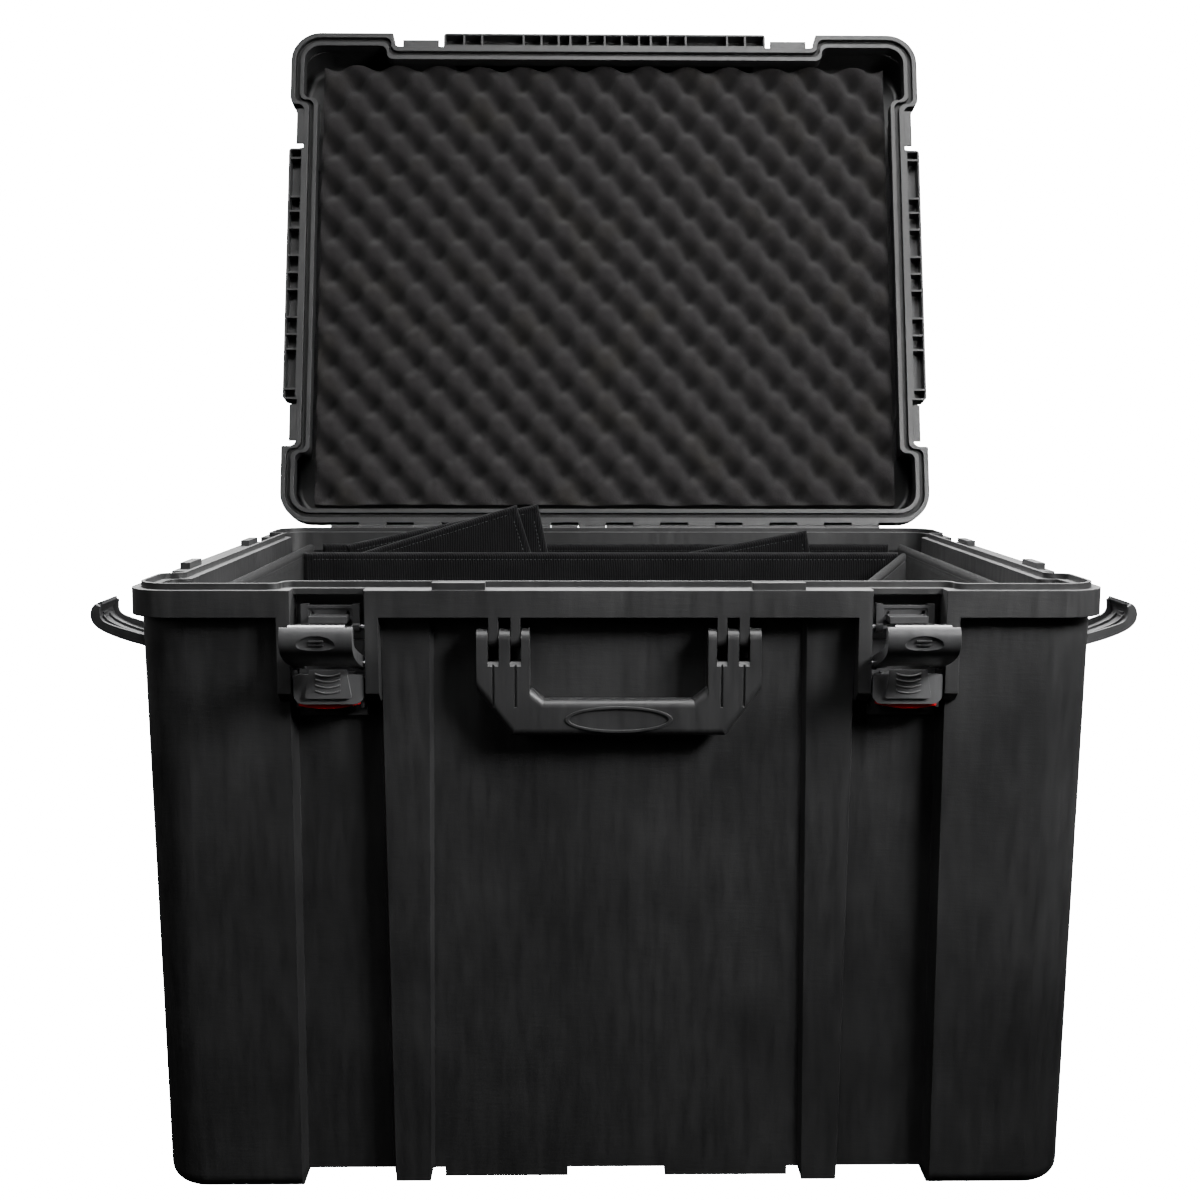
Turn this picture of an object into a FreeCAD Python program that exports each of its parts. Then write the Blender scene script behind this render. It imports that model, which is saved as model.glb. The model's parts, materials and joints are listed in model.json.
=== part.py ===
import FreeCAD, Part
import math
import os

# Large rugged moulded equipment case, shown open.
# Millimetres. +Z up, +X to the right, front of the case towards -Y.
# Origin: centre of the base footprint, on the surface that the case stands on.

V = FreeCAD.Vector
X_AXIS = V(1, 0, 0)
Y_AXIS = V(0, 1, 0)
Z_AXIS = V(0, 0, 1)

# ---------------------------------------------------------------- driving dimensions
WIDTH = 800.0                 # across the rim, left to right
DEPTH = 636.0                 # across the rim, front to back
BASE_HEIGHT = 524.0           # floor to parting plane
LID_HEIGHT = 70.0             # parting plane to top of the closed lid
WALL = 4.5                    # moulded wall
PARTING_GAP = 0.3             # closed lid to base

HALF_W = WIDTH / 2
HALF_D = DEPTH / 2

# rim, seen from above
RIM_STEP = 18.0               # the seal line steps in by this much between the corners
RIM_BAND = 22.0               # height of the rim band, on base and lid
RIM_CORNER_R = 38.0
STEP_R = 8.5                  # S-bends of the seal line
STEP_DRIFT = 0.5              # sideways shift of the S-bends per unit of inset
FRONT_STEP_X = 270.0          # corner blocks start here on the front
SIDE_STEP_Y = 222.0           # and here on the sides
MOUTH_INSET = 17.0            # seal outline to the mouth of the case
FRONT_LEDGE_X = 206.0         # half length of the outer ledge on the front
SIDE_LEDGE_Y = 163.0          # half length of the outer ledge on each side

# body below the rim
BODY_HALF_W = 396.5
BODY_FRONT = -306.0
BODY_BACK = 308.0
BODY_TOP = BASE_HEIGHT - RIM_BAND
SIDE_DRAFT = math.tan(math.radians(0.75))
FRONT_DRAFT = math.tan(math.radians(1.9))
BODY_CORNER_R = 44.0
BOTTOM_FILLET = 15.0
FLOOR_UNDERSIDE = 17.0
CHANNEL_UNDERSIDE = 12.0
FLOOR_TOP = 21.5

# vertical relief on each face: corner pillar, channel, rib, centre panel
CHANNEL_DEPTH = 18.0
RIB_SETBACK = 3.0
PANEL_DEPTH = 8.0
PILLAR_EDGE = (268.0, 270.5)  # at the top and at the bottom
RIB_OUTER = (194.0, 190.0)
RIB_INNER = (154.0, 160.0)
SIDE_PILLAR_EDGE = (222.0, 224.0)
SIDE_RIB_OUTER = (172.0, 169.0)
SIDE_RIB_INNER = (138.0, 142.0)
RELIEF_SLOPE = 3.0

# tongue, groove and gasket
TONGUE_INSET = 7.5
TONGUE_WIDTH = 3.0
TONGUE_HEIGHT = 5.0
GROOVE_INSET = 6.0
GROOVE_WIDTH = 6.0
GROOVE_DEPTH = 8.0
GASKET_THICKNESS = 2.9
BLOCK_HEIGHT = 6.0
BLOCK_WIDTH = 9.0
FRONT_BLOCK = (108.0, 151.0)
SIDE_BLOCK = (103.0, 146.0)
FRONT_CELL_WALLS = (22.0, 44.0, 59.0, 81.0, 104.0, 157.0, 180.0)
SIDE_CELL_WALLS = (22.0, 58.0, 80.0, 99.0, 150.0)
CELL_WALL = 2.5

# lid pose and hinge
LID_LEAN = 14.4               # degrees past vertical
LID_OPEN = 90.0 + LID_LEAN
LID_DRAFT = math.tan(math.radians(0.5))
HINGE_Y = HALF_D + 10.0
HINGE_Z = BASE_HEIGHT + PARTING_GAP / 2
KNUCKLE_R = 7.0
KNUCKLE_LENGTH = 33.6
KNUCKLE_COUNT = 20
KNUCKLE_GAP = 0.4
HINGE_PIN_R = 2.5
RUNNING_CLEARANCE = 0.05

# latches
LATCH_X = 235.0                # front latches
SIDE_LATCH_Y = 192.5           # side latches, two on each side
LATCH_BAY = 60.0
CHEEK = 11.0
CHEEK_BOTTOM = 432.0
CHEEK_BACK = -285.5
LATCH_BAY_BOTTOM = 415.0
LATCH_WALL_Y = -287.0
FLANGE_THICKNESS = 5.0
LEVER_WIDTH = 56.6
LEVER_PIVOT = (-312.0, 464.0)
LEVER_NOTCH = 18.0             # half width of the notch for the slide
LEVER_WALL = 3.0
LEVER_LIP_HALF = 22.0          # the lip is shorter outside this
LEVER_DISH = (-61.5, 23.5)     # centre of the dish from the pivot, lever open
LEVER_DISH_SIZE = (15.0, 3.0, 7.6)
LEVER_PIN_R = 2.5
PAWL_PIVOT = (-297.0, 492.0)
PAWL_PIN_R = 2.0
LATCH_PIN_HALF = 34.5
SLIDE_HALF_W = 28.5
SLIDE_BOTTOM = 431.0
SLIDE_TOP = 455.5
SLIDE_CREST = 462.5            # top of the raised centre
SLIDE_BACK = -312.2
GUIDE_FRONT = -311.5
INDICATOR_BACK = -308.5
INDICATOR_TOP = 436.0
KEEPER_Z = (524.5, 527.3)
KEEPER_Y = -309.0
KEEPER_HALF = 23.0

# handles
FRONT_HANDLE_HALF = 115.2
FRONT_HANDLE_REACH = 79.0
FRONT_PIVOT = (-311.0, 484.0)
HANDLE_LEG = 43.0
HANDLE_THICKNESS = 18.0
GRIP_HEIGHT = 30.0
HANDLE_PIN_R = 3.0
LUG_SLOTS = ((9.2, 18.2), (27.2, 36.2))   # from the outer edge of a leg
SLOT_CLEARANCE = 0.5

# soft interior
LINER_X = 345.0
LINER_THICKNESS = 12.0
LINER_TOP = 512.0
LINER_BOTTOM = 33.0
LINER_FRONT = (-281.0, -265.0)   # outer face at the top and at the bottom
LINER_BACK = (284.0, 267.0)
DIVIDER_TOP = 510.0
DIVIDER_THICKNESS = 10.0
LONG_DIVIDER_Y = 180.0
FOAM_X = 362.0
FOAM_FRONT = -282.0
FOAM_BACK = 294.0
FOAM_FACE = 12.0                 # face of the foam above the parting plane, lid closed
FOAM_POCKET = (-222.0, -60.0, 186.0, 228.0)   # relief over the tall loose divider
FOAM_POCKET_TOP = 50.0


# ---------------------------------------------------------------- helpers
def box(x0, x1, y0, y1, z0, z1):
    return Part.makeBox(x1 - x0, y1 - y0, z1 - z0, V(x0, y0, z0))


def rounded_polygon(corners, z):
    """Closed wire through (x, y, radius) corners at height z."""
    edges = []
    spans = []
    count = len(corners)
    for i, (x, y, radius) in enumerate(corners):
        here = V(x, y, z)
        before = V(corners[i - 1][0], corners[i - 1][1], z)
        after = V(corners[(i + 1) % count][0], corners[(i + 1) % count][1], z)
        to_before = (before - here).normalize()
        to_after = (after - here).normalize()
        if radius <= 0:
            spans.append((here, None, here))
            continue
        half = to_before.getAngle(to_after) / 2
        reach = radius / math.tan(half)
        bisector = (to_before + to_after).normalize()
        centre = here + bisector * (radius / math.sin(half))
        middle = centre - bisector * radius
        spans.append((here + to_before * reach, middle, here + to_after * reach))
    for i, (start, middle, end) in enumerate(spans):
        if middle is not None:
            edges.append(Part.Arc(start, middle, end).toShape())
        following = spans[(i + 1) % count][0]
        if (following - end).Length > 1e-6:
            edges.append(Part.LineSegment(end, following).toShape())
    return Part.Wire(edges)


def rounded_rect(x0, x1, y0, y1, radius, z):
    return rounded_polygon([(x0, y0, radius), (x1, y0, radius), (x1, y1, radius), (x0, y1, radius)], z)


def raise_wire(wire, height):
    return Part.Face(wire).extrude(V(0, 0, height))


def slab_z(corners, z0, z1):
    """Upright prism over (x, y, radius) corners."""
    return raise_wire(rounded_polygon(corners, z0), z1 - z0)


def slab_x(points, x0, x1):
    """Prism along X over a closed outline of (y, z) points."""
    ring = [V(x0, y, z) for y, z in points]
    return Part.Face(Part.makePolygon(ring + ring[:1])).extrude(V(x1 - x0, 0, 0))


def slab_y(points, y0, y1):
    """Prism along Y over a closed outline of (x, z) points."""
    ring = [V(x, y0, z) for x, z in points]
    return Part.Face(Part.makePolygon(ring + ring[:1])).extrude(V(0, y1 - y0, 0))


def loft(wires):
    return Part.makeLoft(wires, True, True)


def mirrored_x(shape):
    return shape.mirror(V(0, 0, 0), X_AXIS)


def both_sides(shape):
    return [shape, mirrored_x(shape)]


def fuse(shapes):
    shapes = list(shapes)
    return shapes[0].multiFuse(shapes[1:]).removeSplitter()


def softened(shape, radius, pick):
    """Fillet the picked edges, with a smaller radius where the full one doesn't fit."""
    edges = [edge for edge in shape.Edges if pick(edge)]
    for share in (1.0, 0.7, 0.45, 0.25):
        try:
            result = shape.makeFillet(radius * share, edges)
            if result.isValid() and result.Volume > 0:
                return result
        except Part.OCCError:
            continue
    return shape


def swing(shape, pivot_y, pivot_z, degrees):
    turned = shape.copy()
    turned.rotate(V(0, pivot_y, pivot_z), X_AXIS, degrees)
    return turned


# ---------------------------------------------------------------- outlines shared by base and lid
def seal_corners(inset):
    """Plan outline of the sealing rim: full size at the corners, stepped in between them."""
    a = HALF_W - inset
    b = HALF_D - inset
    s = RIM_STEP
    fx = FRONT_STEP_X + STEP_DRIFT * inset
    sy = SIDE_STEP_Y + STEP_DRIFT * inset
    outermost = inset < 5
    notch_r = 2.0 if outermost else STEP_R
    side_r = 9.0 if outermost else STEP_R
    corner_r = RIM_CORNER_R - inset
    front = [(-a, -b, corner_r), (-fx, -b, notch_r), (-fx, s - b, STEP_R),
             (fx, s - b, STEP_R), (fx, -b, notch_r), (a, -b, corner_r)]
    right = [(a, -sy, side_r), (a - s, -sy, STEP_R), (a - s, sy, STEP_R), (a, sy, notch_r), (a, b, corner_r)]
    left = [(-x, y, radius) for x, y, radius in reversed(right)]
    return front + right + left


def seal_wire(z, inset=0.0):
    return rounded_polygon(seal_corners(inset), z)


def seal_ring(z0, z1, inset, width):
    """Ring that follows the seal outline, set in from it."""
    outer = raise_wire(seal_wire(z0, inset), z1 - z0)
    return outer.cut(raise_wire(seal_wire(z0, inset + width), z1 - z0))


def mouth(z0, z1):
    return raise_wire(seal_wire(z0, MOUTH_INSET), z1 - z0)


def ledges(z0, z1):
    """Outer ledges that stand beyond the seal line on the front and the sides."""
    reach = RIM_STEP + 1
    front = slab_z([(-FRONT_LEDGE_X, -HALF_D, 4), (FRONT_LEDGE_X, -HALF_D, 4),
                    (FRONT_LEDGE_X, reach - HALF_D, 0), (-FRONT_LEDGE_X, reach - HALF_D, 0)], z0, z1)
    side = slab_z([(HALF_W - reach, -SIDE_LEDGE_Y, 0), (HALF_W, -SIDE_LEDGE_Y, 4),
                   (HALF_W, SIDE_LEDGE_Y, 4), (HALF_W - reach, SIDE_LEDGE_Y, 0)], z0, z1)
    return [front] + both_sides(side)


def between(pair, share):
    return pair[0] + (pair[1] - pair[0]) * share


def relief(z, share, face, pillar, rib_outer, rib_inner, grow):
    """Outline, at one height, of what is cut from a face of the body.

    face is the distance of the pillar plane from the centre; grow moves the cut
    inwards by the wall, which gives the inside of the wall.
    """
    far = face + 60
    edge = between(pillar, share) + grow
    outer = between(rib_outer, share) - grow
    inner = between(rib_inner, share) + grow
    deep = face - CHANNEL_DEPTH - grow
    rib = face - RIB_SETBACK - grow
    panel = face - PANEL_DEPTH - grow
    half = [(edge, far), (edge, face - grow), (edge - RELIEF_SLOPE, deep), (outer + RELIEF_SLOPE, deep),
            (outer, rib), (inner, rib), (inner - RELIEF_SLOPE, panel)]
    return half + [(-u, v) for u, v in reversed(half)]


def relief_cuts(z_top, z_bottom, grow=0.0):
    """Cutters for all four faces, drafted with the walls."""
    faces = [
        (lambda z: -BODY_FRONT - (BODY_TOP - z) * FRONT_DRAFT, lambda u, v: (u, -v), PILLAR_EDGE,
         RIB_OUTER, RIB_INNER),
        (lambda z: BODY_BACK - (BODY_TOP - z) * FRONT_DRAFT, lambda u, v: (-u, v), PILLAR_EDGE,
         RIB_OUTER, RIB_INNER),
        (lambda z: BODY_HALF_W - (BODY_TOP - z) * SIDE_DRAFT, lambda u, v: (v, u), SIDE_PILLAR_EDGE,
         SIDE_RIB_OUTER, SIDE_RIB_INNER),
        (lambda z: BODY_HALF_W - (BODY_TOP - z) * SIDE_DRAFT, lambda u, v: (-v, -u), SIDE_PILLAR_EDGE,
         SIDE_RIB_OUTER, SIDE_RIB_INNER),
    ]
    cutters = []
    for face_at, place, pillar, rib_outer, rib_inner in faces:
        wires = []
        for z in (z_top, z_bottom):
            share = (BODY_TOP - z) / BODY_TOP
            outline = relief(z, share, face_at(z), pillar, rib_outer, rib_inner, grow)
            ring = [V(*place(u, v), z) for u, v in outline]
            wires.append(Part.makePolygon(ring + ring[:1]))
        cutters.append(loft(wires))
    return cutters


def body_section(z, inset=0.0):
    """Rounded rectangle of the drafted body at one height."""
    down = BODY_TOP - z
    half_w = BODY_HALF_W - down * SIDE_DRAFT - inset
    front = BODY_FRONT + down * FRONT_DRAFT + inset
    back = BODY_BACK - down * FRONT_DRAFT - inset
    radius = BODY_CORNER_R - down * SIDE_DRAFT - inset
    return rounded_rect(-half_w, half_w, front, back, radius, z)


# ---------------------------------------------------------------- base shell
def foot_zones():
    """What is kept below the floor: corner feet, rib ends, channel ends, two front and back pads, one runner."""
    far = 500.0
    top = FLOOR_UNDERSIDE + 1
    bottom_x = PILLAR_EDGE[1]
    rib_out = RIB_OUTER[1]
    zones = [box(-30, 30, -150, 150, -1, top)]
    for sy in (-1, 1):
        end = sorted((sy * 200.0, sy * far))
        for sx in (-1, 1):
            zones.append(box(*sorted((sx * bottom_x, sx * far)), *sorted((sy * 150.0, sy * far)), -1, top))
            zones.append(box(*sorted((sx * RIB_INNER[1], sx * rib_out)), *end, 7, top))
            zones.append(box(*sorted((sx * rib_out, sx * bottom_x)), *end, CHANNEL_UNDERSIDE, top))
            zones.append(box(*sorted((sx * 42.0, sx * 148.0)), *sorted((sy * 215.0, sy * far)), 9, top))
    return zones


def knuckle(index):
    """One hinge knuckle with its web to the rim, along X."""
    start = (index - KNUCKLE_COUNT / 2) * KNUCKLE_LENGTH + KNUCKLE_GAP / 2
    length = KNUCKLE_LENGTH - KNUCKLE_GAP
    barrel = Part.makeCylinder(KNUCKLE_R, length, V(start, HINGE_Y, HINGE_Z), X_AXIS)
    bore = Part.makeCylinder(HINGE_PIN_R + RUNNING_CLEARANCE, length, V(start, HINGE_Y, HINGE_Z), X_AXIS)
    return start, length, barrel, bore


def hinge_knuckles(parity, web_z0, web_z1):
    solids = []
    bores = []
    for index in range(KNUCKLE_COUNT):
        if index % 2 != parity:
            continue
        start, length, barrel, bore = knuckle(index)
        web = box(start, start + length, HALF_D - 1, HINGE_Y, web_z0, web_z1)
        solids.append(barrel.fuse(web))
        bores.append(bore)
    return solids, bores


def latch_stations():
    """Mirror side, front or side latch, and place along the wall, by name."""
    stations = {}
    for name, side in (("left", -1), ("right", 1)):
        stations[name] = (side, False, LATCH_X)
        stations["side_front_" + name] = (side, True, -SIDE_LATCH_Y)
        stations["side_rear_" + name] = (side, True, SIDE_LATCH_Y)
    return stations


def at_latch(shape, station):
    """Move a shape built at x = 0 behind the front rim to one latch's place."""
    side, on_side, place = station
    placed = shape.copy()
    if on_side:
        placed.rotate(V(0, 0, 0), Z_AXIS, 90 * side)
        placed.translate(V(side * (HALF_W - HALF_D), place, 0))
    else:
        placed.translate(V(side * place, 0, 0))
    return placed


def at_all_latches(shape):
    return [at_latch(shape, station) for station in latch_stations().values()]


def latch_cheeks():
    """Side walls of the latch bays, flush with the rim band."""
    half = LATCH_BAY / 2
    profile = [(-HALF_D, BASE_HEIGHT), (-HALF_D, CHEEK_BOTTOM + 8), (-HALF_D + 12, CHEEK_BOTTOM),
               (CHEEK_BACK, CHEEK_BOTTOM), (CHEEK_BACK, BASE_HEIGHT)]
    walls = []
    for x0, x1 in ((-half - CHEEK, -half), (half, half + CHEEK)):
        walls.extend(at_all_latches(slab_x(profile, x0, x1)))
    return walls


def latch_bays():
    """Space for each latch under the thin flange."""
    half = LATCH_BAY / 2
    return at_all_latches(box(-half, half, -HALF_D - 30, LATCH_WALL_Y, LATCH_BAY_BOTTOM,
                              BASE_HEIGHT - FLANGE_THICKNESS))


def bay_backs():
    """Walls behind the bays on the sides, where the body is shallower than at the front."""
    half = LATCH_BAY / 2 + WALL
    block = box(-half, half, -HALF_D + 14, LATCH_WALL_Y + WALL, LATCH_BAY_BOTTOM - WALL, BODY_TOP + 1)
    return [at_latch(block, station) for station in latch_stations().values() if station[1]]


def latch_pin_holes():
    holes = []
    for pivot, radius in ((LEVER_PIVOT, LEVER_PIN_R), (PAWL_PIVOT, PAWL_PIN_R)):
        holes.extend(at_all_latches(latch_pin(pivot, radius)))
    return holes


def bracket_spans(half_width):
    """X ranges of the two fixed ears that stand in a leg's slots."""
    spans = []
    for near, far in LUG_SLOTS:
        spans.append((half_width - far + SLOT_CLEARANCE, half_width - near - SLOT_CLEARANCE))
    return spans


def front_handle_ears():
    y, z = FRONT_PIVOT
    ears = []
    for x0, x1 in bracket_spans(FRONT_HANDLE_HALF):
        arm = box(x0, x1, y - 7, BODY_FRONT + PANEL_DEPTH + 2, z, BODY_TOP + 1)
        nose = Part.makeCylinder(7.0, x1 - x0, V(x0, y, z), X_AXIS)
        foot = box(x0, x1, y, BODY_FRONT + PANEL_DEPTH + 2, z - 7, z)
        ears.extend(both_sides(arm.fuse(nose).fuse(foot)))
    return ears


def front_handle_pin_solids():
    y, z = FRONT_PIVOT
    start = FRONT_HANDLE_HALF - HANDLE_LEG + 1.5
    return both_sides(Part.makeCylinder(HANDLE_PIN_R, HANDLE_LEG - 3, V(start, y, z), X_AXIS))


def locating_blocks(z0, height):
    y0 = -HALF_D + 3.5
    x1 = HALF_W - 3.5
    blocks = both_sides(box(FRONT_BLOCK[0], FRONT_BLOCK[1], y0, y0 + BLOCK_WIDTH, z0, z0 + height))
    for sy in (-1, 1):
        span = sorted((sy * SIDE_BLOCK[0], sy * SIDE_BLOCK[1]))
        blocks.extend(both_sides(box(x1 - BLOCK_WIDTH, x1, span[0], span[1], z0, z0 + height)))
    return blocks


def base_shell():
    outer = loft([body_section(0), body_section(BODY_TOP)])
    outer = softened(outer, BOTTOM_FILLET, lambda edge: edge.BoundBox.ZMax < 0.01)
    body = outer.cut(fuse(relief_cuts(BODY_TOP + 1, -20)))
    under = box(-HALF_W, HALF_W, -HALF_D, HALF_D, -5, FLOOR_UNDERSIDE).cut(fuse(foot_zones()))
    body = body.cut(under)

    cavity = loft([body_section(FLOOR_TOP, WALL), body_section(BODY_TOP + 2, WALL)])
    cavity = cavity.cut(fuse(relief_cuts(BODY_TOP + 3, FLOOR_TOP - 3, WALL)))
    pockets = [box(*sorted((sx * (PILLAR_EDGE[1] + WALL), sx * (BODY_HALF_W - 28))),
                   *sorted((sy * 155.0, sy * (HALF_D - 62))), 5, FLOOR_TOP + 1)
               for sx in (-1, 1) for sy in (-1, 1)]
    body = body.cut(cavity.multiFuse(pockets))

    band = raise_wire(seal_wire(BODY_TOP - 0.01), RIM_BAND + 0.01)
    parts = [body, band] + ledges(BODY_TOP, BASE_HEIGHT) + latch_cheeks() + bay_backs()
    parts += front_handle_ears()
    parts.append(seal_ring(BASE_HEIGHT - 1, BASE_HEIGHT + TONGUE_HEIGHT, TONGUE_INSET, TONGUE_WIDTH))
    parts += locating_blocks(BASE_HEIGHT - 1, BLOCK_HEIGHT + 1)
    knuckles, bores = hinge_knuckles(0, HINGE_Z - KNUCKLE_R, HINGE_Z)
    shell = fuse(parts + knuckles)

    funnel = mouth(BODY_TOP - 12, BASE_HEIGHT + TONGUE_HEIGHT + 5)
    shell = shell.cut(funnel)
    return shell.cut(fuse(latch_bays() + latch_pin_holes() + front_handle_pin_solids() + bores))


# ---------------------------------------------------------------- lid
def opened(shape):
    return swing(shape, HINGE_Y, HINGE_Z, -LID_OPEN)


def lid_section(z, inset=0.0):
    up = (z - BASE_HEIGHT) * LID_DRAFT
    half_w = BODY_HALF_W - up - inset
    return rounded_rect(-half_w, half_w, BODY_FRONT + up + inset, BODY_BACK - up - inset,
                        BODY_CORNER_R - inset, z)


def lid_relief(z0, z1, grow=0.0):
    """The base's channels and panels carried up the front and the sides of the lid."""
    cutters = []
    outline = relief(z0, 0, -BODY_FRONT, PILLAR_EDGE, RIB_OUTER, RIB_INNER, grow)
    ring = [V(u, -v, z0) for u, v in outline]
    cutters.append(Part.Face(Part.makePolygon(ring + ring[:1])).extrude(V(0, 0, z1 - z0)))
    outline = relief(z0, 0, BODY_HALF_W, SIDE_PILLAR_EDGE, SIDE_RIB_OUTER, SIDE_RIB_INNER, grow)
    ring = [V(v, u, z0) for u, v in outline]
    side = Part.Face(Part.makePolygon(ring + ring[:1])).extrude(V(0, 0, z1 - z0))
    cutters.extend(both_sides(side))
    return cutters


def ledge_cells(z0, depth):
    """Open cells moulded into the ledges, between thin walls."""
    cells = []
    half = CELL_WALL / 2
    y0 = -HALF_D + CELL_WALL
    y1 = RIM_STEP - HALF_D - CELL_WALL
    walls = sorted([-x for x in FRONT_CELL_WALLS] + [0.0] + list(FRONT_CELL_WALLS))
    walls = [-FRONT_LEDGE_X + half] + walls + [FRONT_LEDGE_X - half]
    for a, b in zip(walls, walls[1:]):
        cells.append(box(a + half, b - half, y0, y1, z0, z0 + depth))
    walls = sorted([-y for y in SIDE_CELL_WALLS] + [0.0] + list(SIDE_CELL_WALLS))
    walls = [-SIDE_LEDGE_Y + half] + walls + [SIDE_LEDGE_Y - half]
    x0 = HALF_W - RIM_STEP + CELL_WALL
    x1 = HALF_W - CELL_WALL
    for a, b in zip(walls, walls[1:]):
        cells.extend(both_sides(box(x0, x1, a + half, b - half, z0, z0 + depth)))
    return cells


def lid_shell():
    z0 = BASE_HEIGHT + PARTING_GAP
    band_top = z0 + RIM_BAND
    top = BASE_HEIGHT + LID_HEIGHT
    ceiling = top - WALL
    body = loft([lid_section(band_top - 1), lid_section(top)])
    body = softened(body, 12.0, lambda edge: edge.BoundBox.ZMin > top - 0.01)
    body = body.cut(fuse(lid_relief(band_top - 2, top + 5)))
    band = raise_wire(seal_wire(z0), RIM_BAND)
    keeper = box(-KEEPER_HALF, KEEPER_HALF, KEEPER_Y, RIM_STEP - HALF_D + 1, KEEPER_Z[0], KEEPER_Z[1])
    knuckles, bores = hinge_knuckles(1, HINGE_Z, HINGE_Z + KNUCKLE_R)
    shell = fuse([body, band] + ledges(z0, band_top) + at_all_latches(keeper) + knuckles)
    groove = seal_ring(z0 - 1, z0 + GROOVE_DEPTH, GROOVE_INSET, GROOVE_WIDTH)
    cavity = loft([lid_section(band_top - WALL, WALL), lid_section(ceiling, WALL)])
    cavity = softened(cavity, 7.5, lambda edge: edge.BoundBox.ZMin > ceiling - 0.01)
    cavity = cavity.cut(fuse(lid_relief(band_top - WALL - 1, top, WALL)))
    tools = [groove, cavity, mouth(z0 - 1, band_top - WALL + 1)] + ledge_cells(z0 - 1, 17.0) + bores
    return opened(shell.cut(fuse(tools)))


def lid_gasket():
    top = BASE_HEIGHT + PARTING_GAP + GROOVE_DEPTH
    return opened(seal_ring(top - GASKET_THICKNESS, top, GROOVE_INSET + 0.5, GROOVE_WIDTH - 1.0))


def lid_foam():
    """Foam pad, with a pocket where the tops of the loose dividers press into it."""
    z0 = BASE_HEIGHT + FOAM_FACE
    z1 = BASE_HEIGHT + LID_HEIGHT - WALL - 0.3
    pad = raise_wire(rounded_rect(-FOAM_X, FOAM_X, FOAM_FRONT, FOAM_BACK, 6, z0), z1 - z0)
    pad = softened(pad, 8.0, lambda edge: edge.BoundBox.ZMin > z1 - 0.01)
    return opened(pad.cut(box(*FOAM_POCKET, z0 - 1, BASE_HEIGHT + FOAM_POCKET_TOP)))


def hinge_pin():
    half = KNUCKLE_COUNT * KNUCKLE_LENGTH / 2 + 1.0
    return Part.makeCylinder(HINGE_PIN_R, 2 * half, V(-half, HINGE_Y, HINGE_Z), X_AXIS)


# ---------------------------------------------------------------- bail handles
def front_handle():
    """Bail handle hanging from its pivot axis, with its ribbed hollow towards the case."""
    half = FRONT_HANDLE_HALF
    reach = FRONT_HANDLE_REACH
    t = HANDLE_THICKNESS / 2
    leg_in = half - HANDLE_LEG
    slope = 28.0
    grip_top = GRIP_HEIGHT - reach
    outline = [(half, 0), (half, slope + 9 - reach), (half - slope, -reach), (slope - half, -reach),
               (-half, slope + 9 - reach), (-half, 0), (-leg_in, 0), (-leg_in, grip_top + 10),
               (12 - leg_in, grip_top), (leg_in - 12, grip_top), (leg_in, grip_top + 10), (leg_in, 0)]
    body = slab_y(outline, -t, t)
    body = softened(body, 6.5, lambda edge: edge.BoundBox.ZMax < -2 and edge.BoundBox.YLength < 0.01)
    lugs = both_sides(Part.makeCylinder(t, HANDLE_LEG, V(leg_in, 0, 0), X_AXIS))
    body = fuse([body] + lugs)

    cuts = []
    for near, far in LUG_SLOTS:
        slot = box(half - far, half - near, -t - 1, t + 1, -18, t + 1)
        cuts.extend(both_sides(slot))
        middle = half - (near + far) / 2
        cuts.extend(both_sides(box(middle - 0.9, middle + 0.9, -t - 1, 1.4 - t, 24 - reach, -17)))
        bevel = slab_x([(-t - 1, -22.5), (-t - 1, -17), (4 - t, -17.5)], half - far, half - near)
        cuts.extend(both_sides(bevel))
    wall = 4.0
    span = leg_in - 14
    y0 = wall - t
    y1 = t + 1
    cell_edges = [-span + i * (2 * span) / 6 for i in range(7)]
    for a, b in zip(cell_edges, cell_edges[1:]):
        cuts.append(box(a + 1.5, b - 1.5, y0, y1, wall + 1 - reach, grip_top - wall - 1))
    leg_cells = ((grip_top + 3, -22.0), (wall + 14 - reach, grip_top))
    for z0, z1 in leg_cells:
        cuts.extend(both_sides(box(leg_in + wall, half - wall - (0 if z0 > grip_top else 12),
                                   y0, y1, z0, z1)))
    start = V(leg_in - 1, 0, 0)
    cuts.extend(both_sides(Part.makeCylinder(HANDLE_PIN_R + RUNNING_CLEARANCE, HANDLE_LEG + 2,
                                             start, X_AXIS)))
    body = body.cut(fuse(cuts))
    body = badge_plate(body, -t, -reach + GRIP_HEIGHT / 2 - 1)
    body.translate(V(0, FRONT_PIVOT[0], FRONT_PIVOT[1]))
    return body


def badge_plate(body, face, z):
    """Plain oval recess with a raised border in the middle of the grip."""
    def oval(major, minor, low, high):
        ellipse = Part.Ellipse(V(0, 0, 0), major, minor).toShape()
        plate = Part.Face(Part.Wire([ellipse])).extrude(V(0, 0, high - low))
        plate.rotate(V(0, 0, 0), X_AXIS, 90)
        plate.translate(V(0, high, z))
        return plate
    body = body.fuse(oval(43.5, 10.8, face - 0.8, face + 3.0))
    return body.cut(oval(40.5, 8.8, face - 2.0, face + 0.6))


# ---------------------------------------------------------------- latches, built at x = 0
def lever_skin(points):
    """Smooth edge through points of the lever's side view, y and z from the pivot, lever open."""
    curve = Part.BSplineCurve()
    curve.interpolate([V(0, y, z) for y, z in points])
    return curve.toShape()


def lever_slice(outer, inner, half):
    a = lever_skin(outer)
    b = lever_skin(inner)
    ends = [Part.LineSegment(V(0, *outer[-1]), V(0, *inner[-1])).toShape(),
            Part.LineSegment(V(0, *inner[0]), V(0, *outer[0])).toShape()]
    solid = Part.Face(Part.Wire([a, ends[0], b, ends[1]])).extrude(V(2 * half, 0, 0))
    solid.translate(V(-half, 0, 0))
    return solid


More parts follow.
